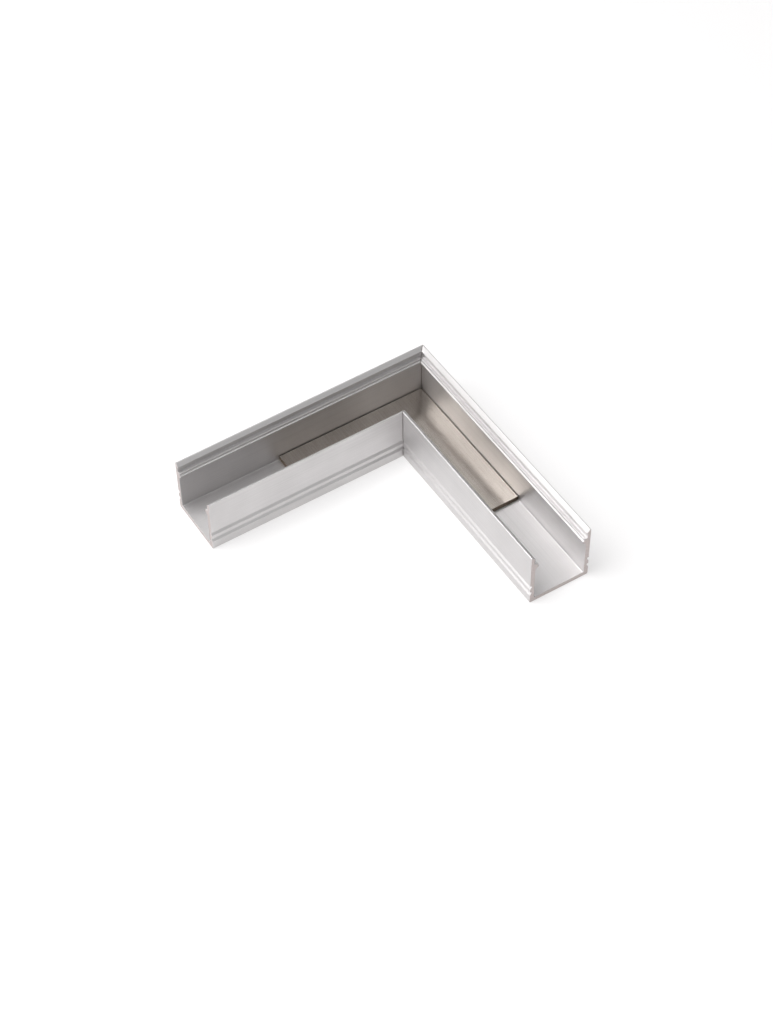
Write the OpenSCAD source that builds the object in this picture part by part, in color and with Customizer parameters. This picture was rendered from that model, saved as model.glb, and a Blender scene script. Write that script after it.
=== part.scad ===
// Corner connector for a surface-mounted light strip channel.
// Two lengths of one extruded channel are mitred at 45 degrees, and an L-shaped plate
// on the channel floor joins them. The part lies on its back, open side up.
// The origin is where the two centre lines cross on the back. One arm runs along +X and
// the other along -Y.

/* [Channel] */
// Width over the outer faces
profile_w = 16; // [14:0.5:24]
// Height from the back to the rims
profile_h = 16; // [14:0.5:24]
// Thickness of the side walls
wall_t = 1.2; // [1:0.1:1.5]
// Thickness of the floor
floor_t = 1.2; // [1:0.1:2]
// Radius between the floor and the walls
inner_fillet_r = 0.3; // [0.2:0.1:0.6]
// Radius of the two bottom edges
outer_round_r = 0.4; // [0.2:0.1:0.8]

/* [Arms] */
// Length of each arm, from the outer corner to its sawn end
arm_len = 69; // [55:1:200]
// Gap between the two mitred faces
mitre_gap = 0.1; // [0.05:0.05:0.3]

/* [Rim] */
// Width of the flat along the top of each wall
rim_flat_w = 0.3; // [0.2:0.1:0.6]
// Height of the chamfer on the inside of the rim
rim_chamfer_h = 1; // [0.6:0.1:1.5]
// Thickness of the wall at the foot of that chamfer
rim_foot_t = 1.25; // [1:0.05:1.4]

/* [Cover ledge] */
// Height of the notch that the cover's edge clicks into
notch_h = 1.6; // [1:0.1:2]
// Wall left behind the notch
notch_wall_t = 0.85; // [0.5:0.05:0.9]
// Distance from the outer face to the inner edge of the ledge
ledge_reach = 1.7; // [1.5:0.05:2]
// Height of the step down from the ledge to the nose
ledge_step_h = 0.65; // [0.15:0.05:0.7]
// Width of the nose beyond the step
nose_w = 0.4; // [0.35:0.05:0.6]
// Height of the nose
nose_h = 0.45; // [0.35:0.05:0.8]
// Radius of the nose's upper edge
nose_r = 0.15; // [0.1:0.05:0.3]

/* [Side grooves] */
// Height of the lower groove's bottom edge above the back
groove_z = 2.6; // [1.5:0.1:4]
// Distance from one groove up to the next
groove_pitch = 2.2; // [2:0.05:4]
// Number of grooves on each outer face
groove_count = 2; // [1:1:2]
// Height of a groove at its mouth
groove_h = 1.15; // [0.8:0.05:1.5]
// Depth of a groove
groove_depth = 0.45; // [0.2:0.05:0.6]
// Height of the sloped lower side of a groove
groove_slope_h = 0.6; // [0.3:0.05:0.7]

/* [Corner plate] */
// Thickness of the plate
plate_t = 1.2; // [0.8:0.1:2]
// Gap between the plate and each side wall
plate_side_gap = 0.15; // [0.1:0.05:0.5]
// From the outer corner of the channel to the plate's end in the right arm
plate_right_reach = 43; // [25:0.5:50]
// From the outer corner of the channel to the plate's end in the left arm
plate_left_reach = 42; // [25:0.5:50]

/* [Hidden] */
$fn = 48;

half_w = profile_w / 2;
foot_z = profile_h - rim_chamfer_h;
ledge_z = foot_z - notch_h;
shelf_z = ledge_z - ledge_step_h;
nose_reach = ledge_reach + nose_w;
nose_foot_z = shelf_z - nose_h;
// The underside of the ledge runs back to the wall at 45 degrees
ledge_foot_z = nose_foot_z - (nose_reach - wall_t);
plate_w = profile_w - 2 * (wall_t + plate_side_gap);
plate_chamfer = inner_fillet_r;
// Room past the part on every side of a cutting block
cut_room = 1;

aluminium = [0.78, 0.78, 0.79];
steel = [0.66, 0.62, 0.58];

// A square corner with a quarter circle taken out of it, for an edge of this radius
module corner_web(r) {
    difference() {
        square(r);
        translate([r, r])
            circle(r);
    }
}

// One groove on the outer face: a sloped lower side, a flat bottom and a square upper lip
module groove() {
    polygon([
        [-cut_room, 0],
        [0, 0],
        [groove_depth, groove_slope_h],
        [groove_depth, groove_h],
        [-cut_room, groove_h]
    ]);
}

// One side wall, with its outer face on the Y axis and the channel to its right
module wall_section() {
    difference() {
        union() {
            polygon([
                [0, 0],
                [wall_t, 0],
                [wall_t, ledge_foot_z],
                [nose_reach, nose_foot_z],
                [nose_reach, shelf_z - nose_r],
                [nose_reach - nose_r, shelf_z],
                [ledge_reach, shelf_z],
                [ledge_reach, ledge_z],
                [notch_wall_t, ledge_z],
                [notch_wall_t, foot_z],
                [rim_foot_t, foot_z],
                [rim_flat_w, profile_h],
                [0, profile_h]
            ]);
            translate([nose_reach - nose_r, shelf_z - nose_r])
                circle(nose_r);
            translate([wall_t, floor_t])
                corner_web(inner_fillet_r);
        }
        for (i = [0 : groove_count - 1])
            translate([0, groove_z + i * groove_pitch])
                groove();
        corner_web(outer_round_r);
    }
}

// The whole channel, centred, with its back on the X axis
module channel_section() {
    translate([-half_w, 0])
        wall_section();
    mirror([1, 0])
        translate([-half_w, 0])
            wall_section();
    translate([wall_t - half_w, 0])
        square([profile_w - 2 * wall_t, floor_t]);
}

// The plate's cross-section, on the channel floor, with its lower edges taken off to
// clear the fillets
module plate_section() {
    translate([-plate_w / 2, floor_t])
        polygon([
            [plate_chamfer, 0],
            [plate_w - plate_chamfer, 0],
            [plate_w, plate_chamfer],
            [plate_w, plate_t],
            [0, plate_t],
            [0, plate_chamfer]
        ]);
}

// A section run along +X to this distance from the outer corner, and cut off at the
// mitre plane less half of the gap
module mitred_run(reach, gap) {
    difference() {
        translate([-half_w, 0, 0])
            rotate([90, 0, 90])
                linear_extrude(reach)
                    children();
        rotate([0, 0, 45])
            translate([gap / 2 - 2 * profile_w, -profile_w, -cut_room])
                cube([2 * profile_w, 2 * profile_w, profile_h + 2 * cut_room]);
    }
}

// Turns a run along +X into the matching run along -Y
module other_arm() {
    mirror([1, 1, 0])
        children();
}

module right_arm() {
    color(aluminium)
        mitred_run(arm_len, mitre_gap)
            channel_section();
}

module left_arm() {
    color(aluminium)
        other_arm()
            mitred_run(arm_len, mitre_gap)
                channel_section();
}

module corner_plate() {
    color(steel)
        union() {
            mitred_run(plate_right_reach, 0)
                plate_section();
            other_arm()
                mitred_run(plate_left_reach, 0)
                    plate_section();
        }
}

right_arm();
left_arm();
corner_plate();
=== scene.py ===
"""Looks of a mitred corner for a surface-mounted light strip channel.

Two lengths of one extruded aluminium channel meet at a 45 degree mitre, and an L-shaped
steel plate on the channel floor joins them. Everything is in metres, in the frame of the
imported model: right arm along +X, left arm along -Y, open side up.
"""

import logging
import math
from dataclasses import dataclass, field
from enum import Enum
from typing import ClassVar

import bmesh
import bpy
from mathutils import Matrix, Vector

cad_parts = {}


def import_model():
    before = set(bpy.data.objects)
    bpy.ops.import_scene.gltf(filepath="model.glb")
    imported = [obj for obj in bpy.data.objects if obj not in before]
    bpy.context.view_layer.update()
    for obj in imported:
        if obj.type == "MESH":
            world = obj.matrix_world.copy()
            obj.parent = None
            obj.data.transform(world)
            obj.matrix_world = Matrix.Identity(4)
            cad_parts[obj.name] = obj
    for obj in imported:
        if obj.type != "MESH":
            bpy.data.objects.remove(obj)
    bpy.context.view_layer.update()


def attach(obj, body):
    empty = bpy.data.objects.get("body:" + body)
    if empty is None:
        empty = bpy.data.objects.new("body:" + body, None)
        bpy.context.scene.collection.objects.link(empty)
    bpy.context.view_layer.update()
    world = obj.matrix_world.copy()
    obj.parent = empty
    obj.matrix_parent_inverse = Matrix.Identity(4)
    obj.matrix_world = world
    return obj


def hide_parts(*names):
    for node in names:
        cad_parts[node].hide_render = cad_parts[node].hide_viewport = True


MM = 0.001
SECTION_MAP = "section_map"
SAWN = "sawn"
GIRTH = "girth"
OUTWARD = "outward"
RINGS_PER_UNIT = 20

# The sRGB transfer curve: a straight foot, then a power
SRGB_FULL = 255
SRGB_KNEE = 0.04045
SRGB_SLOPE = 12.92
SRGB_OFFSET = 0.055
SRGB_POWER = 2.4

# Sockets of the Mix node, by index, because they share their names
NUMBER_A, NUMBER_B = 2, 3
COLOUR_A, COLOUR_B = 6, 7
MIXED_COLOUR = 2

Socket = bpy.types.NodeSocket

log = logging.getLogger("corner")


def linear(colour: str) -> tuple[float, float, float, float]:
    """Turns an sRGB hex colour into linear RGBA.

    Args:
        colour: Six hex digits, with or without a leading hash.

    Returns:
        Red, green, blue and an alpha of 1.
    """
    digits = colour.lstrip("#")
    shares = []
    for i in (0, 2, 4):
        c = int(digits[i : i + 2], 16) / SRGB_FULL
        bent = ((c + SRGB_OFFSET) / (1 + SRGB_OFFSET)) ** SRGB_POWER
        shares.append(c / SRGB_SLOPE if c <= SRGB_KNEE else bent)
    return (*shares, 1.0)


def add_node(
    tree: bpy.types.NodeTree,
    kind: str,
    inputs: dict[str | int, object] | None = None,
    **settings: object,
) -> bpy.types.Node:
    """Adds a node, sets its properties and fills its inputs.

    Args:
        tree: The node tree that takes the node.
        kind: Blender's name of the node type.
        inputs: Input name or index, and the socket to link to it or the value to set.
        **settings: Properties of the node.

    Returns:
        The new node.
    """
    node = tree.nodes.new(kind)
    for name, value in settings.items():
        setattr(node, name, value)
    for key, value in (inputs or {}).items():
        if isinstance(value, Socket):
            tree.links.new(value, node.inputs[key])
        else:
            node.inputs[key].default_value = value
    return node


def add_object(name: str, data: bpy.types.ID) -> bpy.types.Object:
    """Makes an object and links it into the scene.

    Args:
        name: The object's name.
        data: Its mesh, light or camera.

    Returns:
        The object.
    """
    made = bpy.data.objects.new(name, data)
    bpy.context.scene.collection.objects.link(made)
    return made


def add_piece(name: str, mesh: bpy.types.Mesh, smooth_angle: float) -> bpy.types.Object:
    """Makes a piece whose small edge roundings shade smoothly and whose faces stay flat.

    Args:
        name: The piece's name.
        mesh: Its mesh, with smooth faces.
        smooth_angle: Angle above which an edge is sharp.

    Returns:
        The piece.
    """
    mesh.set_sharp_from_angle(angle=smooth_angle)
    piece = add_object(name, mesh)
    weighted = piece.modifiers.new("flat faces stay flat", "WEIGHTED_NORMAL")
    weighted.keep_sharp = True
    return piece


def direction(azimuth: float, elevation: float) -> Vector:
    """The unit vector to a place around the corner.

    Args:
        azimuth: Angle from the front, -Y, towards +X.
        elevation: Angle above the table.

    Returns:
        The vector.
    """
    level = math.cos(elevation)
    return Vector((math.sin(azimuth) * level, -math.cos(azimuth) * level, math.sin(elevation)))


class Run(Enum):
    """The direction that a length of channel runs in, away from the corner."""

    ALONG_X = ("x", Vector((1, 0, 0)), Vector((0, 1, 0)))
    ALONG_Y = ("y", Vector((0, -1, 0)), Vector((-1, 0, 0)))

    @property
    def letter(self) -> str:
        """The axis, for names."""
        return self.value[0]

    @property
    def along(self) -> Vector:
        """Unit vector from the corner to the sawn end."""
        return self.value[1]

    @property
    def across(self) -> Vector:
        """Unit vector across the channel, to the outer side of the corner."""
        return self.value[2]


def blank_material(name: str) -> tuple[bpy.types.Material, bpy.types.NodeTree, bpy.types.Node]:
    """Makes a material with only its output node.

    Args:
        name: The material's name.

    Returns:
        The material, its tree and the output node.
    """
    material = bpy.data.materials.new(name)
    material.use_nodes = True
    material.node_tree.nodes.clear()
    output = add_node(material.node_tree, "ShaderNodeOutputMaterial")
    return material, material.node_tree, output


@dataclass(frozen=True)
class AnodisedAluminium:
    """Natural anodised aluminium, extruded and then etched and anodised.

    The etch and the clear oxide make it satin: each face takes one soft, even tone from what
    it faces, and only a broad sheen of its neighbours shows. The die leaves fine lines along
    the length, which spread a highlight across them. Real die lines are some 0.05 mm apart,
    too fine to show, so they are drawn coarser and very shallow.
    """

    light: str = "#d3d1d1"
    dark: str = "#c8c6c6"
    roughness: float = 0.47
    roughness_swing: float = 0.03
    anisotropy: float = 0.15
    line_spacing: float = 0.22 * MM
    line_length: float = 60 * MM
    line_detail: float = 3.0
    line_grit: float = 0.6
    cloud_size: float = 9 * MM
    cloud_detail: float = 4.0
    cloud_share: float = 0.4
    low_noise: float = 0.35
    high_noise: float = 0.65
    line_depth: float = 0.0004 * MM

    def material(self) -> bpy.types.Material:
        """Builds the finish for a piece with a section map.

        Returns:
            The material.
        """
        material, tree, output = blank_material("natural_anodised_extrusion")
        uv = add_node(tree, "ShaderNodeUVMap", uv_map=SECTION_MAP)
        scale = (1 / self.line_spacing, 1 / self.line_length, 1)
        stretched = add_node(
            tree, "ShaderNodeMapping", {"Vector": uv.outputs["UV"], "Scale": scale}
        )
        lines = add_node(
            tree,
            "ShaderNodeTexNoise",
            {
                "Vector": stretched.outputs[0],
                "Scale": 1.0,
                "Detail": self.line_detail,
                "Roughness": self.line_grit,
            },
        )
        place = add_node(tree, "ShaderNodeTexCoord")
        clouds = add_node(
            tree,
            "ShaderNodeTexNoise",
            {
                "Vector": place.outputs["Object"],
                "Scale": 1 / self.cloud_size,
                "Detail": self.cloud_detail,
            },
        )
        both = add_node(
            tree,
            "ShaderNodeMix",
            {
                "Factor": self.cloud_share,
                NUMBER_A: lines.outputs["Fac"],
                NUMBER_B: clouds.outputs["Fac"],
            },
            data_type="FLOAT",
        )
        tone = add_node(
            tree,
            "ShaderNodeMapRange",
            {"Value": both.outputs[0], "From Min": self.low_noise, "From Max": self.high_noise},
        )
        colour = add_node(
            tree,
            "ShaderNodeMix",
            {
                "Factor": tone.outputs[0],
                COLOUR_A: linear(self.dark),
                COLOUR_B: linear(self.light),
            },
            data_type="RGBA",
        )
        low, high = self.roughness - self.roughness_swing, self.roughness + self.roughness_swing
        rough = add_node(
            tree,
            "ShaderNodeMapRange",
            {
                "Value": both.outputs[0],
                "From Min": self.low_noise,
                "From Max": self.high_noise,
                "To Min": high,
                "To Max": low,
            },
        )
        bump = add_node(
            tree,
            "ShaderNodeBump",
            {"Height": lines.outputs["Fac"], "Distance": self.line_depth, "Strength": 1.0},
        )
        tangent = add_node(tree, "ShaderNodeTangent", direction_type="UV_MAP", uv_map=SECTION_MAP)
        # Satin: soft, even tones, and a sheen that the lines spread across the length
        shader = add_node(
            tree,
            "ShaderNodeBsdfPrincipled",
            {
                "Base Color": colour.outputs[MIXED_COLOUR],
                "Metallic": 1.0,
                "Roughness": rough.outputs[0],
                "Anisotropic": self.anisotropy,
                "Normal": bump.outputs[0],
                "Tangent": tangent.outputs[0],
            },
        )
        tree.links.new(shader.outputs[0], output.inputs["Surface"])
        return material


@dataclass(frozen=True)
class SawnAluminium:
    """Bare aluminium as a circular saw leaves it, with no oxide over it.

    The torn surface scatters light, so a cut looks matt, paler and slightly warm beside the
    satin skin, with a grain and faint curved marks. The marks of a fine blade are 0.1 to 0.2 mm
    apart, too fine to show, so they are drawn coarser.
    """

    light: str = "#cdc4c2"
    dark: str = "#aca3a1"
    roughness: float = 0.5
    mark_spacing: float = 0.4 * MM
    saw_radius: float = 125 * MM
    saw_across: float = 0.6
    saw_above: float = 0.8
    grain_share: float = 0.75
    mark_depth: float = 0.003 * MM
    mark_wander: float = 2.5
    mark_detail: float = 3.0
    mark_detail_scale: float = 1.4
    grain: float = 0.5 * MM
    grain_detail: float = 4.0

    def material(self, run: Run) -> bpy.types.Material:
        """Builds the finish for the cuts of one arm.

        Args:
            run: The direction of the arm.

        Returns:
            The material.
        """
        material, tree, output = blank_material(f"saw_cut_aluminium_{run.letter}")
        place = add_node(tree, "ShaderNodeTexCoord")
        above = Vector((0, 0, self.saw_radius * self.saw_above))
        centre = run.across * self.saw_radius * self.saw_across + above
        around = add_node(
            tree, "ShaderNodeMapping", {"Vector": place.outputs["Object"], "Location": centre}
        )
        marks = add_node(
            tree,
            "ShaderNodeTexWave",
            {
                "Vector": around.outputs[0],
                "Scale": math.tau / (RINGS_PER_UNIT * self.mark_spacing),
                "Distortion": self.mark_wander,
                "Detail": self.mark_detail,
                "Detail Scale": self.mark_detail_scale,
            },
            wave_type="RINGS",
            rings_direction=run.letter.upper(),
        )
        grain = add_node(
            tree,
            "ShaderNodeTexNoise",
            {
                "Vector": place.outputs["Object"],
                "Scale": 1 / self.grain,
                "Detail": self.grain_detail,
            },
        )
        both = add_node(
            tree,
            "ShaderNodeMix",
            {
                "Factor": self.grain_share,
                NUMBER_A: marks.outputs["Fac"],
                NUMBER_B: grain.outputs["Fac"],
            },
            data_type="FLOAT",
        )
        colour = add_node(
            tree,
            "ShaderNodeMix",
            {
                "Factor": both.outputs[0],
                COLOUR_A: linear(self.dark),
                COLOUR_B: linear(self.light),
            },
            data_type="RGBA",
        )
        bump = add_node(
            tree,
            "ShaderNodeBump",
            {"Height": both.outputs[0], "Distance": self.mark_depth, "Strength": 1.0},
        )
        # Matt and pale: the torn grain scatters light all ways
        shader = add_node(
            tree,
            "ShaderNodeBsdfPrincipled",
            {
                "Base Color": colour.outputs[MIXED_COLOUR],
                "Metallic": 1.0,
                "Roughness": self.roughness,
                "Normal": bump.outputs[0],
            },
        )
        tree.links.new(shader.outputs[0], output.inputs["Surface"])
        return material


@dataclass(frozen=True)
class RolledSteel:
    """Cold rolled steel sheet, bare and lightly oiled.

    The rolls press it smooth, so it is glossier than the channel and mirrors the walls beside
    it softly. Bare steel is a warm beige grey, with short scratches and darker flecks along
    the rolling direction.
    """

    light: str = "#d0c8c0"
    dark: str = "#c0b8b0"
    fleck: str = "#aba299"
    roughness: float = 0.21
    roughness_swing: float = 0.04
    scratch_width: float = 0.30 * MM
    scratch_length: float = 9 * MM
    scratch_detail: float = 4.0
    scratch_grit: float = 0.65
    fleck_size: float = 1.1 * MM
    fleck_stretch: float = 0.35
    fleck_detail: float = 5.0
    fleck_grit: float = 0.7
    fleck_start: float = 0.58
    fleck_full: float = 0.72
    fleck_strength: float = 0.55
    low_noise: float = 0.35
    high_noise: float = 0.65
    scratch_depth: float = 0.0008 * MM

    def material(self) -> bpy.types.Material:
        """Builds the finish of the plate's faces.

        Returns:
            The material.
        """
        material, tree, output = blank_material("cold_rolled_steel")
        place = add_node(tree, "ShaderNodeTexCoord")
        scale = (1 / self.scratch_length, 1 / self.scratch_width, 1 / self.scratch_width)
        stretched = add_node(
            tree, "ShaderNodeMapping", {"Vector": place.outputs["Object"], "Scale": scale}
        )
        scratches = add_node(
            tree,
            "ShaderNodeTexNoise",
            {
                "Vector": stretched.outputs[0],
                "Scale": 1.0,
                "Detail": self.scratch_detail,
                "Roughness": self.scratch_grit,
            },
        )
        fleck_scale = (
            self.fleck_stretch / self.fleck_size, 1 / self.fleck_size, 1 / self.fleck_size
        )
        spread = add_node(
            tree, "ShaderNodeMapping", {"Vector": place.outputs["Object"], "Scale": fleck_scale}
        )
        flecks = add_node(
            tree,
            "ShaderNodeTexNoise",
            {
                "Vector": spread.outputs[0],
                "Scale": 1.0,
                "Detail": self.fleck_detail,
                "Roughness": self.fleck_grit,
            },
        )
        sheen = add_node(
            tree,
            "ShaderNodeMapRange",
            {
                "Value": scratches.outputs["Fac"],
                "From Min": self.low_noise,
                "From Max": self.high_noise,
            },
        )
        base = add_node(
            tree,
            "ShaderNodeMix",
            {
                "Factor": sheen.outputs[0],
                COLOUR_A: linear(self.dark),
                COLOUR_B: linear(self.light),
            },
            data_type="RGBA",
        )
        marked = add_node(
            tree,
            "ShaderNodeMapRange",
            {
                "Value": flecks.outputs["Fac"],
                "From Min": self.fleck_start,
                "From Max": self.fleck_full,
                "To Max": self.fleck_strength,
            },
        )
        colour = add_node(
            tree,
            "ShaderNodeMix",
            {
                "Factor": marked.outputs[0],
                COLOUR_A: base.outputs[MIXED_COLOUR],
                COLOUR_B: linear(self.fleck),
            },
            data_type="RGBA",
        )
        low, high = self.roughness - self.roughness_swing, self.roughness + self.roughness_swing
        rough = add_node(
            tree,
            "ShaderNodeMapRange",
            {
                "Value": flecks.outputs["Fac"],
                "From Min": self.low_noise,
                "From Max": self.high_noise,
                "To Min": low,
                "To Max": high,
            },
        )
        bump = add_node(
            tree,
            "ShaderNodeBump",
            {"Height": scratches.outputs["Fac"], "Distance": self.scratch_depth, "Strength": 1.0},
        )
        # Glossier than the channel: a warm grey in which the walls show softly
        shader = add_node(
            tree,
            "ShaderNodeBsdfPrincipled",
            {
                "Base Color": colour.outputs[MIXED_COLOUR],
                "Metallic": 1.0,
                "Roughness": rough.outputs[0],
                "Normal": bump.outputs[0],
            },
        )
        tree.links.new(shader.outputs[0], output.inputs["Surface"])
        return material


@dataclass(frozen=True)
class ShearedEdgeAndPaintedShade:
    """The plate's cut edges, as a shear leaves them.

    The break is torn, so it is rough. Its brown, much darker than the rolled faces, is partly the
    cut's own duller tone and partly painted shade, taken from cut ends that lie in shade.
    """

    # The dark brown is partly the cut's own tone and partly painted shade of ends in shade
    light: str = "#8f8171"
    dark: str = "#51463a"
    roughness: float = 0.55
    tear_width: float = 0.3 * MM
    tear_stretch: float = 0.4
    tear_detail: float = 4.0
    tear_grit: float = 0.6
    tear_depth: float = 0.02 * MM
    bump_strength: float = 0.8
    metallic: float = 0.85

    def material(self) -> bpy.types.Material:
        """Builds the finish of the plate's edges.

        Returns:
            The material.
        """
        material, tree, output = blank_material("sheared_edge_and_painted_shade")
        place = add_node(tree, "ShaderNodeTexCoord")
        scale = (1 / self.tear_width, 1 / self.tear_width, self.tear_stretch / self.tear_width)
        stretched = add_node(
            tree, "ShaderNodeMapping", {"Vector": place.outputs["Object"], "Scale": scale}
        )
        tears = add_node(
            tree,
            "ShaderNodeTexNoise",
            {
                "Vector": stretched.outputs[0],
                "Scale": 1.0,
                "Detail": self.tear_detail,
                "Roughness": self.tear_grit,
            },
        )
        colour = add_node(
            tree,
            "ShaderNodeMix",
            {
                "Factor": tears.outputs["Fac"],
                COLOUR_A: linear(self.dark),
                COLOUR_B: linear(self.light),
            },
            data_type="RGBA",
        )
        bump = add_node(
            tree,
            "ShaderNodeBump",
            {
                "Height": tears.outputs["Fac"],
                "Distance": self.tear_depth,
                "Strength": self.bump_strength,
            },
        )
        # Rough, and a dark brown that is partly painted shade: much darker than the faces beside it
        shader = add_node(
            tree,
            "ShaderNodeBsdfPrincipled",
            {
                "Base Color": colour.outputs[MIXED_COLOUR],
                "Metallic": self.metallic,
                "Roughness": self.roughness,
                "Normal": bump.outputs[0],
            },
        )
        tree.links.new(shader.outputs[0], output.inputs["Surface"])
        return material


@dataclass
class ChannelSection:
    """The extrusion's cross-section, in metres, with the edge radii that the die leaves."""

    width: float = 16 * MM
    height: float = 16 * MM
    wall: float = 1.2 * MM
    floor: float = 1.2 * MM
    fillet: float = 0.3 * MM
    bottom_round: float = 0.4 * MM
    rim_flat: float = 0.3 * MM
    rim_chamfer: float = 1.0 * MM
    rim_foot: float = 1.25 * MM
    notch: float = 1.6 * MM
    notch_wall: float = 0.85 * MM
    ledge_reach: float = 1.7 * MM
    ledge_step: float = 0.65 * MM
    nose_width: float = 0.4 * MM
    nose_height: float = 0.45 * MM
    nose_round: float = 0.15 * MM
    ledge_round: float = 0.15 * MM
    groove_z: float = 2.6 * MM
    groove_pitch: float = 2.2 * MM
    groove_count: int = 2
    groove_height: float = 1.15 * MM
    groove_depth: float = 0.45 * MM
    groove_slope: float = 0.6 * MM
    edge_round: float = 0.12 * MM
    rim_round: float = 0.16 * MM
    fine_round: float = 0.08 * MM
    arc_step: float = math.radians(15)
    least_arc_steps: int = 2
    straight: float = 1e-6

    def wall_corners(self) -> list[tuple[float, float, float]]:
        """Corners of the right-hand wall, from the back up the outside and down the inside.

        Returns:
            Distance in from the outer face, height and radius of each corner.
        """
        foot = self.height - self.rim_chamfer
        ledge = foot - self.notch
        shelf = ledge - self.ledge_step
        reach = self.ledge_reach + self.nose_width
        under = shelf - self.nose_height
        fine, edge = self.fine_round, self.edge_round
        corners = [(0.0, 0.0, self.bottom_round)]
        for i in range(self.groove_count):
            z = self.groove_z + i * self.groove_pitch
            corners += [
                (0.0, z, edge),
                (self.groove_depth, z + self.groove_slope, fine),
                (self.groove_depth, z + self.groove_height, fine),
                (0.0, z + self.groove_height, edge),
            ]
        corners += [
            (0.0, self.height, self.rim_round),
            (self.rim_flat, self.height, self.rim_round),
            (self.rim_foot, foot, fine),
            (self.notch_wall, foot, fine),
            (self.notch_wall, ledge, fine),
            (self.ledge_reach, ledge, self.ledge_round),
            (self.ledge_reach, shelf, fine),
            (reach, shelf, self.nose_round),
            (reach, under, fine),
            (self.wall, under - (reach - self.wall), edge),
            (self.wall, self.floor, self.fillet),
        ]
        return corners

    def outline(self) -> list[tuple[float, float]]:
        """The closed outline, counter-clockwise, from the middle of the back.

        Returns:
            Distance from the centre line and height of each point.
        """
        half = self.width / 2
        right = [(half - x, z, r) for x, z, r in self.wall_corners()]
        left = [(-u, z, r) for u, z, r in reversed(right)]
        corners = [(0.0, 0.0, 0.0), *right, *left]
        points = []
        for i, (u, z, radius) in enumerate(corners):
            here = Vector((u, z))
            before = Vector(corners[i - 1][:2]) - here
            after = Vector(corners[(i + 1) % len(corners)][:2]) - here
            turn = math.pi - before.angle(after)
            if radius == 0 or turn < self.straight:
                points.append((u, z))
                continue
            back = radius * math.tan(turn / 2)
            inward = (before.normalized() + after.normalized()).normalized()
            centre = here + inward * (radius / math.cos(turn / 2))
            first = here + before.normalized() * back - centre
            side = math.copysign(1.0, before.normalized().cross(after.normalized()))
            steps = max(self.least_arc_steps, math.ceil(turn / self.arc_step))
            for k in range(steps + 1):
                a = -side * turn * k / steps
                spin = Matrix.Rotation(a, 2)
                points.append(tuple(centre + spin @ first))
        return points


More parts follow.
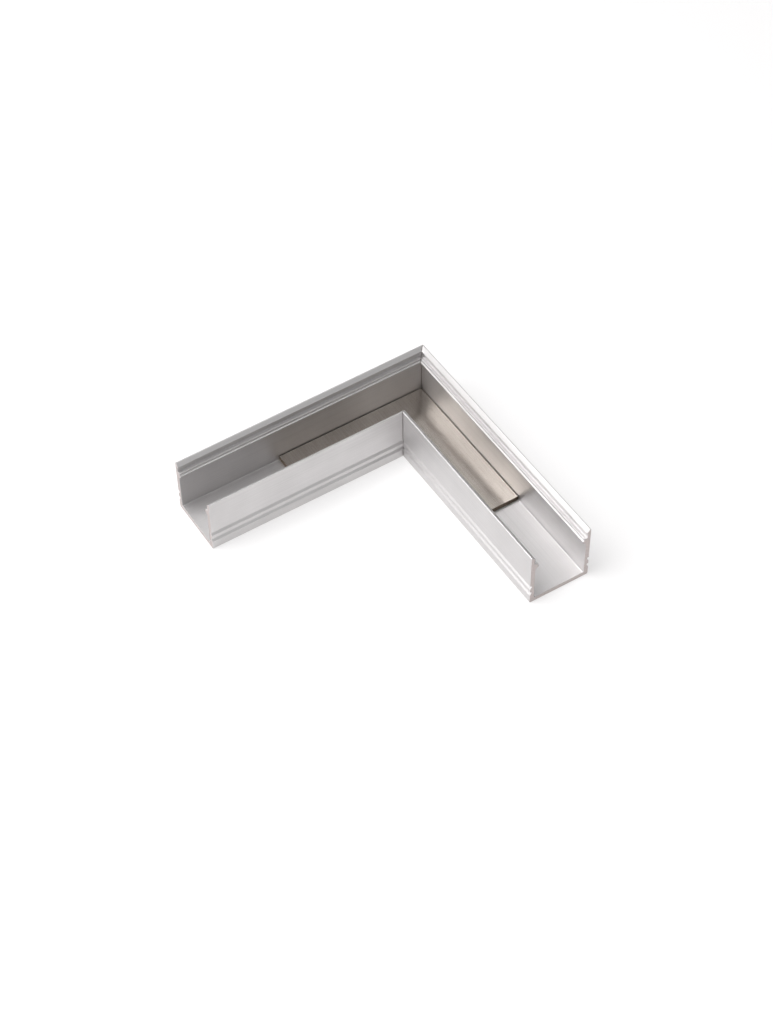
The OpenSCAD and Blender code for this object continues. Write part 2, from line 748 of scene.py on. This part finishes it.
class RunTree:
    """Geometry Nodes that run a section from a mitre to a sawn end and close both."""

    STATIONS = 4
    WELD = 0.001 * MM
    # The grid is one unit long each way, with its middle at zero
    GRID_MIDDLE = 0.5
    # Half of the gap across the mitre, as a length along the arm
    GAP_SHARE = math.sqrt(0.5)

    def __init__(self) -> None:
        """Builds the tree once, for both arms."""
        self.tree = bpy.data.node_groups.new("mitred_channel_run", "GeometryNodeTree")
        self.sockets: dict[str, str] = {}
        self._interface()
        self._nodes()

    def _interface(self) -> None:
        """Adds the named inputs and the output."""
        kinds = {
            "Section": "NodeSocketGeometry",
            "Along": "NodeSocketVector",
            "Across": "NodeSocketVector",
            "Run Length": "NodeSocketFloat",
            "Mitre Gap": "NodeSocketFloat",
            "Mitre Edge": "NodeSocketFloat",
            "End Edge": "NodeSocketFloat",
            "Girth": "NodeSocketFloat",
            "Skin": "NodeSocketMaterial",
            "Cut": "NodeSocketMaterial",
        }
        for name, kind in kinds.items():
            socket = self.tree.interface.new_socket(name, in_out="INPUT", socket_type=kind)
            self.sockets[name] = socket.identifier
        self.tree.interface.new_socket("Channel", in_out="OUTPUT", socket_type="NodeSocketGeometry")

    def _placed(self, given: bpy.types.Node, run: Socket, u: Socket, z: Socket) -> Socket:
        """Adds the sum along * run + across * u + up * z.

        Args:
            given: The group input node.
            run: Socket with the distance from the corner's centre along the arm.
            u: Socket with the distance from the centre line.
            z: Socket with the height.

        Returns:
            The socket with the place.
        """
        along = add_node(
            self.tree,
            "ShaderNodeVectorMath",
            {0: given.outputs["Along"], "Scale": run},
            operation="SCALE",
        )
        across = add_node(
            self.tree,
            "ShaderNodeVectorMath",
            {0: given.outputs["Across"], "Scale": u},
            operation="SCALE",
        )
        up = add_node(self.tree, "ShaderNodeCombineXYZ", {"Z": z})
        flat = add_node(
            self.tree,
            "ShaderNodeVectorMath",
            {0: along.outputs[0], 1: across.outputs[0]},
            operation="ADD",
        )
        whole = add_node(
            self.tree,
            "ShaderNodeVectorMath",
            {0: flat.outputs[0], 1: up.outputs[0]},
            operation="ADD",
        )
        return whole.outputs[0]

    def _inset(self, place: Socket, outward: Socket, inset: Socket) -> tuple[Socket, Socket]:
        """Moves section points inwards.

        Args:
            place: Socket with the section points, as (0, u, z).
            outward: Socket with their outward directions.
            inset: Socket with the distance.

        Returns:
            Sockets with u and z.
        """
        step = add_node(
            self.tree, "ShaderNodeVectorMath", {0: outward, "Scale": inset}, operation="SCALE"
        )
        moved = add_node(
            self.tree, "ShaderNodeVectorMath", {0: place, 1: step.outputs[0]}, operation="SUBTRACT"
        )
        parts = add_node(self.tree, "ShaderNodeSeparateXYZ", {0: moved.outputs[0]})
        return parts.outputs["Y"], parts.outputs["Z"]

    def _mitre(self, given: bpy.types.Node, u: Socket) -> Socket:
        """Adds the distance at which the mitre plane, less half of the gap, cuts a line.

        Args:
            given: The group input node.
            u: Socket with the line's distance from the centre line.

        Returns:
            The socket with the distance along the arm.
        """
        half = add_node(
            self.tree,
            "ShaderNodeMath",
            {0: given.outputs["Mitre Gap"], 1: self.GAP_SHARE},
            operation="MULTIPLY",
        )
        cut = add_node(
            self.tree, "ShaderNodeMath", {0: half.outputs[0], 1: u}, operation="SUBTRACT"
        )
        return cut.outputs[0]

    def _nodes(self) -> None:
        """Builds the walls as a grid over the outline, and the two cuts from its face."""
        tree = self.tree
        given = add_node(tree, "NodeGroupInput")
        section = given.outputs["Section"]
        count = add_node(tree, "GeometryNodeAttributeDomainSize", {"Geometry": section})
        columns = add_node(
            tree, "ShaderNodeMath", {0: count.outputs["Point Count"], 1: 1.0}, operation="ADD"
        )
        grid = add_node(
            tree,
            "GeometryNodeMeshGrid",
            {
                "Size X": 1.0,
                "Size Y": 1.0,
                "Vertices X": columns.outputs[0],
                "Vertices Y": self.STATIONS,
            },
        )
        place = add_node(tree, "GeometryNodeInputPosition")
        spot = add_node(tree, "ShaderNodeSeparateXYZ", {0: place.outputs[0]})
        column_share, station_share = [
            add_node(
                tree,
                "ShaderNodeMath",
                {0: spot.outputs[axis], 1: self.GRID_MIDDLE},
                operation="ADD",
            ).outputs[0]
            for axis in ("X", "Y")
        ]
        column_at = add_node(
            tree,
            "ShaderNodeMath",
            {0: column_share, 1: count.outputs["Point Count"]},
            operation="MULTIPLY",
        )
        column = add_node(tree, "ShaderNodeMath", {0: column_at.outputs[0]}, operation="ROUND")
        station_at = add_node(
            tree, "ShaderNodeMath", {0: station_share, 1: self.STATIONS - 1.0}, operation="MULTIPLY"
        )
        station = add_node(tree, "ShaderNodeMath", {0: station_at.outputs[0]}, operation="ROUND")
        wrapped = add_node(
            tree,
            "ShaderNodeMath",
            {0: column.outputs[0], 1: count.outputs["Point Count"]},
            operation="MODULO",
        )
        outward = add_node(
            tree, "GeometryNodeInputNamedAttribute", {"Name": OUTWARD}, data_type="FLOAT_VECTOR"
        )
        girth = add_node(
            tree, "GeometryNodeInputNamedAttribute", {"Name": GIRTH}, data_type="FLOAT"
        )
        point, away, girth_so_far = [
            add_node(
                tree,
                "GeometryNodeSampleIndex",
                {"Geometry": section, "Value": value, "Index": wrapped.outputs[0]},
                data_type=kind,
            ).outputs[0]
            for value, kind in (
                (place.outputs[0], "FLOAT_VECTOR"),
                (outward.outputs[0], "FLOAT_VECTOR"),
                (girth.outputs[0], "FLOAT"),
            )
        ]
        closing = add_node(
            tree,
            "ShaderNodeMath",
            {0: column.outputs[0], 1: count.outputs["Point Count"]},
            operation="COMPARE",
        )
        around = add_node(
            tree,
            "ShaderNodeMath",
            {0: closing.outputs[0], 1: given.outputs["Girth"], 2: girth_so_far},
            operation="MULTIPLY_ADD",
        )
        inset = self._by_station(
            station.outputs[0], [given.outputs["Mitre Edge"], 0.0, 0.0, given.outputs["End Edge"]]
        )
        u, z = self._inset(point, away, inset)
        start = self._mitre(given, u)
        past = add_node(
            tree, "ShaderNodeMath", {0: start, 1: given.outputs["Mitre Edge"]}, operation="ADD"
        )
        short = add_node(
            tree,
            "ShaderNodeMath",
            {0: given.outputs["Run Length"], 1: given.outputs["End Edge"]},
            operation="SUBTRACT",
        )
        run = self._by_station(
            station.outputs[0],
            [start, past.outputs[0], short.outputs[0], given.outputs["Run Length"]],
        )
        uv = add_node(tree, "ShaderNodeCombineXYZ", {"X": around.outputs[0], "Y": run})
        mapped = add_node(
            tree,
            "GeometryNodeStoreNamedAttribute",
            {"Geometry": grid.outputs["Mesh"], "Name": SECTION_MAP, "Value": uv.outputs[0]},
            data_type="FLOAT2",
            domain="CORNER",
        )
        walls = add_node(
            tree,
            "GeometryNodeSetPosition",
            {"Geometry": mapped.outputs[0], "Position": self._placed(given, run, u, z)},
        )
        cuts = []
        for edge, at_mitre in (("Mitre Edge", True), ("End Edge", False)):
            cut_u, cut_z = self._inset(place.outputs[0], outward.outputs[0], given.outputs[edge])
            far = self._mitre(given, cut_u) if at_mitre else given.outputs["Run Length"]
            flat = add_node(tree, "ShaderNodeCombineXYZ", {"X": cut_u, "Y": cut_z})
            face = add_node(
                tree,
                "GeometryNodeStoreNamedAttribute",
                {"Geometry": section, "Name": SECTION_MAP, "Value": flat.outputs[0]},
                data_type="FLOAT2",
                domain="CORNER",
            )
            marked = add_node(
                tree,
                "GeometryNodeStoreNamedAttribute",
                {"Geometry": face.outputs[0], "Name": SAWN, "Value": True},
                data_type="BOOLEAN",
                domain="FACE",
            )
            moved = add_node(
                tree,
                "GeometryNodeSetPosition",
                {"Geometry": marked.outputs[0], "Position": self._placed(given, far, cut_u, cut_z)},
            )
            cuts.append(moved.outputs[0])
        joined = add_node(tree, "GeometryNodeJoinGeometry")
        for part in (cuts[1], cuts[0], walls.outputs[0]):
            tree.links.new(part, joined.inputs[0])
        merged = add_node(
            tree,
            "GeometryNodeMergeByDistance",
            {"Geometry": joined.outputs[0], "Distance": self.WELD},
        )
        smooth = add_node(tree, "GeometryNodeSetShadeSmooth", {"Geometry": merged.outputs[0]})
        real = add_node(tree, "GeometryNodeRealizeInstances", {"Geometry": smooth.outputs[0]})
        skinned = add_node(
            tree,
            "GeometryNodeSetMaterial",
            {"Geometry": real.outputs[0], "Material": given.outputs["Skin"]},
        )
        sawn = add_node(
            tree, "GeometryNodeInputNamedAttribute", {"Name": SAWN}, data_type="BOOLEAN"
        )
        finished = add_node(
            tree,
            "GeometryNodeSetMaterial",
            {
                "Geometry": skinned.outputs[0],
                "Selection": sawn.outputs[0],
                "Material": given.outputs["Cut"],
            },
        )
        add_node(tree, "NodeGroupOutput", {0: finished.outputs[0]})

    def _by_station(self, station: Socket, values: list[Socket | float]) -> Socket:
        """Picks one value for each station along the run.

        Args:
            station: Socket with the station's number.
            values: A socket or number for each station.

        Returns:
            The socket with the picked value.
        """
        pick = self.tree.nodes.new("GeometryNodeIndexSwitch")
        pick.data_type = "FLOAT"
        while len(pick.index_switch_items) < len(values):
            pick.index_switch_items.new()
        self.tree.links.new(station, pick.inputs["Index"])
        for i, value in enumerate(values):
            if isinstance(value, Socket):
                self.tree.links.new(value, pick.inputs[i + 1])
            else:
                pick.inputs[i + 1].default_value = value
        return pick.outputs[0]


@dataclass
class Arm:
    """One arm of the corner: a length of channel with a mitre and a sawn end."""

    name: str
    run: Run
    section: ChannelSection
    skin: bpy.types.Material
    cut: bpy.types.Material
    length: float = 69 * MM
    mitre_gap: float = 0.1 * MM
    mitre_edge: float = 0.03 * MM
    end_edge: float = 0.05 * MM
    smooth_angle: float = math.radians(32)
    least_cosine: float = 0.3

    def _section_object(self) -> tuple[bpy.types.Object, float]:
        """Makes the section as one face, with its girth and outward directions.

        Returns:
            The object and the outline's whole length.
        """
        outline = self.section.outline()
        mesh = bpy.data.meshes.new(f"{self.name}_section")
        mesh.from_pydata([(0.0, u, z) for u, z in outline], [], [tuple(range(len(outline)))])
        points = [Vector(p) for p in outline]
        girth, outward, total = [], [], 0.0
        for i, here in enumerate(points):
            before, after = here - points[i - 1], points[(i + 1) % len(points)] - here
            girth.append(total)
            total += after.length
            sides = [Vector((d.y, -d.x)).normalized() for d in (before, after)]
            mean = (sides[0] + sides[1]).normalized()
            # Longer at a corner, so that an inset moves both of its sides alike
            cosine = max(self.least_cosine, mean.dot(sides[0]))
            outward.append(Vector((0.0, mean.x, mean.y)) / cosine)
        mesh.attributes.new(GIRTH, "FLOAT", "POINT").data.foreach_set("value", girth)
        flat = [c for v in outward for c in v]
        mesh.attributes.new(OUTWARD, "FLOAT_VECTOR", "POINT").data.foreach_set("vector", flat)
        return add_object(mesh.name, mesh), total

    def build(self, nodes: RunTree) -> bpy.types.Object:
        """Runs the section through the nodes and keeps the result as a plain mesh.

        Args:
            nodes: The tree that runs a section.

        Returns:
            The arm.
        """
        host, girth = self._section_object()
        modifier = host.modifiers.new("run", "NODES")
        modifier.node_group = nodes.tree
        values = {
            "Along": self.run.along,
            "Across": self.run.across,
            "Run Length": self.length - self.section.width / 2,
            "Mitre Gap": self.mitre_gap,
            "Mitre Edge": self.mitre_edge,
            "End Edge": self.end_edge,
            "Girth": girth,
            "Skin": self.skin,
            "Cut": self.cut,
        }
        for name, value in values.items():
            modifier[nodes.sockets[name]] = value
        graph = bpy.context.evaluated_depsgraph_get()
        mesh = bpy.data.meshes.new_from_object(host.evaluated_get(graph))
        host.modifiers.remove(modifier)
        bpy.data.objects.remove(host)
        turned = bmesh.new()
        turned.from_mesh(mesh)
        bmesh.ops.recalc_face_normals(turned, faces=turned.faces)
        turned.to_mesh(mesh)
        turned.free()
        mesh.name = f"{self.name}_profile"
        # The nodes keep the section's own empty slot in front of the two finishes
        mesh.materials.pop(index=0)
        for name in (GIRTH, OUTWARD, SAWN):
            mesh.attributes.remove(mesh.attributes[name])
        return add_piece(mesh.name, mesh, self.smooth_angle)

    def dress(self, nodes: RunTree) -> bpy.types.Object:
        """Builds the arm and puts it in the place of its CAD node.

        Args:
            nodes: The tree that runs a section.

        Returns:
            The arm.
        """
        piece = self.build(nodes)
        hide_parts(self.name)
        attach(piece, "root")
        log.info("%s: %d faces", piece.name, len(piece.data.polygons))
        return piece


@dataclass
class CornerPlate:
    """The L-shaped steel plate on the channel floor, with rounded upper edges."""

    FACE_SLOT: ClassVar[int] = 0
    EDGE_SLOT: ClassVar[int] = 1

    face: bpy.types.Material
    edge: bpy.types.Material
    width: float = 13.3 * MM
    thickness: float = 1.2 * MM
    bottom: float = 1.2 * MM
    right_end: float = 35 * MM
    left_end: float = 34 * MM
    lower_chamfer: float = 0.3 * MM
    upper_round: float = 0.06 * MM
    round_steps: int = 3
    smooth_angle: float = math.radians(32)

    def _loop(self, side: float, end: float) -> list[tuple[float, float]]:
        """The plate's outline, set in from its long sides and its two ends.

        Args:
            side: Distance in from the long sides.
            end: Distance in from the ends.

        Returns:
            Six corners, counter-clockwise.
        """
        half = self.width / 2
        return [
            (-half + side, -self.left_end + end),
            (half - side, -self.left_end + end),
            (half - side, -half + side),
            (self.right_end - end, -half + side),
            (self.right_end - end, half - side),
            (-half + side, half - side),
        ]

    def build(self) -> bpy.types.Object:
        """Stacks outlines from the lower face over the rounded edge to the upper face.

        Returns:
            The plate.
        """
        top = self.bottom + self.thickness
        levels = [
            (self.lower_chamfer, 0.0, self.bottom),
            (0.0, 0.0, self.bottom + self.lower_chamfer),
        ]
        for k in range(self.round_steps + 1):
            a = math.pi / 2 * k / self.round_steps
            inset = self.upper_round * (1 - math.cos(a))
            levels.append((inset, inset, top - self.upper_round + self.upper_round * math.sin(a)))
        mesh = bpy.data.meshes.new("joining_plate")
        shape = bmesh.new()
        loops = [
            [shape.verts.new((x, y, z)) for x, y in self._loop(side, end)]
            for side, end, z in levels
        ]
        for low, high in zip(loops, loops[1:]):
            for i in range(len(low)):
                j = (i + 1) % len(low)
                shape.faces.new((low[i], low[j], high[j], high[i])).material_index = self.EDGE_SLOT
        shape.faces.new(reversed(loops[0])).material_index = self.FACE_SLOT
        shape.faces.new(loops[-1]).material_index = self.FACE_SLOT
        bmesh.ops.recalc_face_normals(shape, faces=shape.faces)
        for side in shape.faces:
            side.smooth = True
        shape.to_mesh(mesh)
        shape.free()
        mesh.materials.append(self.face)
        mesh.materials.append(self.edge)
        return add_piece(mesh.name, mesh, self.smooth_angle)

    def dress(self) -> bpy.types.Object:
        """Builds the plate and puts it in the place of its CAD node.

        Returns:
            The plate.
        """
        piece = self.build()
        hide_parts("corner_plate")
        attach(piece, "root")
        log.info("%s: %d faces", piece.name, len(piece.data.polygons))
        return piece


@dataclass
class Softbox:
    """A square area light that points at the corner."""

    name: str
    azimuth: float
    elevation: float
    size: float
    level: float
    distance: float = 0.7
    colour: str = "#ffffff"
    aim: tuple[float, float, float] = (20 * MM, -20 * MM, 0.0)

    def build(self) -> bpy.types.Object:
        """Hangs the light.

        Returns:
            The light.
        """
        lamp = bpy.data.lights.new(self.name, "AREA")
        lamp.shape = "SQUARE"
        lamp.size = self.size
        # A white matt face turned to the lamp shows its level
        lamp.energy = self.level * math.pi**2 * self.distance**2
        lamp.color = linear(self.colour)[:3]
        hung = add_object(self.name, lamp)
        back = direction(math.radians(self.azimuth), math.radians(self.elevation))
        hung.location = back * self.distance + Vector(self.aim)
        hung.rotation_mode = "QUATERNION"
        hung.rotation_quaternion = back.to_track_quat("Z", "Y")
        log.info("%s: %.2f W", hung.name, lamp.energy)
        return hung


@dataclass
class Studio:
    """White table, soft lights and the dim room that the metal mirrors."""

    table_size: float = 6.0
    table_colour: str = "#fefdfd"
    table_share: float = 0.38
    table_glow: float = 0.575
    room_low: str = "#f9f9f9"
    room_high: str = "#181818"
    horizon: float = 0.22
    ceiling: float = 0.5
    boxes: list[Softbox] = field(
        default_factory=lambda: [
            Softbox("overhead", azimuth=0, elevation=88, size=0.7, level=0.30),
            Softbox("front_upper", azimuth=0, elevation=65, size=0.45, level=0.23),
            Softbox("front_upper_left", azimuth=330, elevation=65, size=0.45, level=0.66),
            Softbox("front_low", azimuth=0, elevation=20, size=0.5, level=0.41),
            Softbox("front_left", azimuth=338, elevation=42, size=0.45, level=0.22),
            Softbox("back_left", azimuth=240, elevation=65, size=0.45, level=0.10),
            Softbox("back_right", azimuth=112, elevation=42, size=0.45, level=0.08),
        ]
    )

    def build(self) -> None:
        """Makes the table, the room and the lights."""
        self._table()
        self._room()
        for box in self.boxes:
            box.build()

    def _table(self) -> None:
        """Lays the white table under the corner. It takes the corner's shadow, and what the
        camera and the metal see of it also glows, so that it stays white."""
        mesh = bpy.data.meshes.new("table")
        half = self.table_size / 2
        corners = [(-half, -half, 0), (half, -half, 0), (half, half, 0), (-half, half, 0)]
        mesh.from_pydata(corners, [], [(0, 1, 2, 3)])
        table = add_object("table", mesh)
        material, tree, output = blank_material("white_table")
        ray = add_node(tree, "ShaderNodeLightPath")
        seen = add_node(
            tree,
            "ShaderNodeMath",
            {0: ray.outputs["Is Camera Ray"], 1: ray.outputs["Is Glossy Ray"]},
            operation="MAXIMUM",
        )
        shown = add_node(
            tree,
            "ShaderNodeMath",
            {0: seen.outputs[0], 1: ray.outputs["Is Transmission Ray"]},
            operation="MAXIMUM",
        )
        strength = add_node(
            tree, "ShaderNodeMath", {0: shown.outputs[0], 1: self.table_glow}, operation="MULTIPLY"
        )
        glow = add_node(
            tree,
            "ShaderNodeEmission",
            {"Color": linear(self.table_colour), "Strength": strength.outputs[0]},
        )
        tone = tuple(c * self.table_share for c in linear(self.table_colour)[:3])
        # The matt share takes the corner's shadow
        matt = add_node(tree, "ShaderNodeBsdfDiffuse", {"Color": (*tone, 1.0)})
        both = add_node(tree, "ShaderNodeAddShader", {0: glow.outputs[0], 1: matt.outputs[0]})
        tree.links.new(both.outputs[0], output.inputs["Surface"])
        mesh.materials.append(material)

    def _room(self) -> None:
        """Fills the world: pale up to a little above the table's edge, dim overhead."""
        world = bpy.data.worlds.new("studio_room")
        bpy.context.scene.world = world
        world.use_nodes = True
        tree = world.node_tree
        tree.nodes.clear()
        way = add_node(tree, "ShaderNodeTexCoord")
        parts = add_node(tree, "ShaderNodeSeparateXYZ", {0: way.outputs["Generated"]})
        climb = add_node(
            tree,
            "ShaderNodeMapRange",
            {"Value": parts.outputs["Z"], "From Min": self.horizon, "From Max": self.ceiling},
            interpolation_type="SMOOTHSTEP",
        )
        tone = add_node(
            tree,
            "ShaderNodeMix",
            {
                "Factor": climb.outputs[0],
                COLOUR_A: linear(self.room_low),
                COLOUR_B: linear(self.room_high),
            },
            data_type="RGBA",
        )
        glow = add_node(
            tree, "ShaderNodeBackground", {"Color": tone.outputs[MIXED_COLOUR], "Strength": 1.0}
        )
        add_node(tree, "ShaderNodeOutputWorld", {"Surface": glow.outputs[0]})


@dataclass(frozen=True)
class PhotoCamera:
    """The camera of the photograph, as its position, its axes and its focal length."""

    azimuth: float = math.radians(70.03)
    elevation: float = math.radians(50.88)
    roll: float = math.radians(-10.05)
    focal_pixels: float = 2340.4
    frame_height: int = 1031
    # The optical axis lies this far off the middle of the frame
    shift_pixels: tuple[float, float] = (301.0, 45.5)
    # How far across, over and ahead of the camera the outer corner lies
    offset: tuple[float, float, float] = (83.56 * MM, 42.64 * MM, 579.66 * MM)
    corner: tuple[float, float, float] = (-8 * MM, 8 * MM, 0.0)
    sensor: float = 36.0
    depth_range: tuple[float, float] = (0.01, 50.0)

    def build(self) -> bpy.types.Object:
        """Places the camera.

        Returns:
            The camera.
        """
        back = direction(self.azimuth, self.elevation)
        level = (-back).cross(Vector((0, 0, 1))).normalized()
        rise = level.cross(-back)
        right = level * math.cos(self.roll) + rise * math.sin(self.roll)
        up = rise * math.cos(self.roll) - level * math.sin(self.roll)
        across, over, ahead = self.offset
        place = back * ahead - right * across - up * over + Vector(self.corner)
        lens = bpy.data.cameras.new("photo_camera")
        lens.sensor_width = self.sensor
        lens.lens = self.sensor * self.focal_pixels / self.frame_height
        lens.shift_x, lens.shift_y = (pixels / self.frame_height for pixels in self.shift_pixels)
        lens.clip_start, lens.clip_end = self.depth_range
        camera = add_object("photo_camera", lens)
        frame = Matrix((right, up, back)).transposed().to_4x4()
        camera.matrix_world = Matrix.Translation(place) @ frame
        bpy.context.scene.camera = camera
        log.info("camera: lens %.2f mm", lens.lens)
        return camera


def main() -> None:
    """Loads the frame, dresses each sub-assembly and lights the scene."""
    logging.basicConfig(level=logging.INFO, format="%(name)s: %(message)s")
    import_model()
    scene = bpy.context.scene
    scene.view_settings.view_transform = "Standard"
    skin = AnodisedAluminium().material()
    section = ChannelSection()
    nodes = RunTree()
    for name, run in (("right_arm", Run.ALONG_X), ("left_arm", Run.ALONG_Y)):
        Arm(name, run, section, skin, SawnAluminium().material(run)).dress(nodes)
    CornerPlate(RolledSteel().material(), ShearedEdgeAndPaintedShade().material()).dress()
    Studio().build()
    PhotoCamera().build()


if __name__ == "__main__":
    main()
